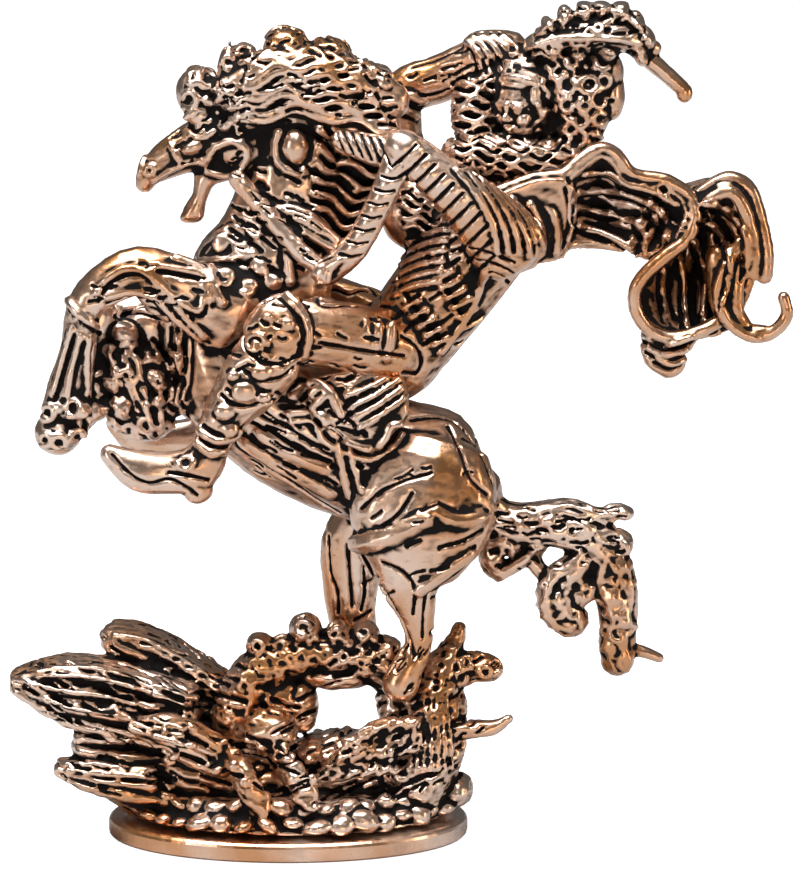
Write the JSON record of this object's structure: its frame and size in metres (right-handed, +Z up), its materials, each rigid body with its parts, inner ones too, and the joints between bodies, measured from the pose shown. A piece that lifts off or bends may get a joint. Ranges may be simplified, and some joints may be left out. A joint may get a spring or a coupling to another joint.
{
  "type": "horse and rider figurine",
  "caption": "Small cast figurine of an armoured, cloaked rider on a rearing horse over rockwork, standing on an oval plinth; ornament for a desk or shelf.",
  "frame": {"origin": "centre of the plinth's underside", "axes": "+Z up, +X to the horse's tail, the horse faces -X, +Y to the horse's far side as pictured"},
  "size_m": [0.0652, 0.021, 0.0706],
  "materials": {
    "patinated_brass": "red brass, dark patina in the recesses, rubbed bright on what stands proud",
    "polished_brass": "red brass, rubbed bright"
  },
  "bodies": {
    "root": {"figure": "patinated_brass", "plinth": "polished_brass"}
  },
  "joints": []
}
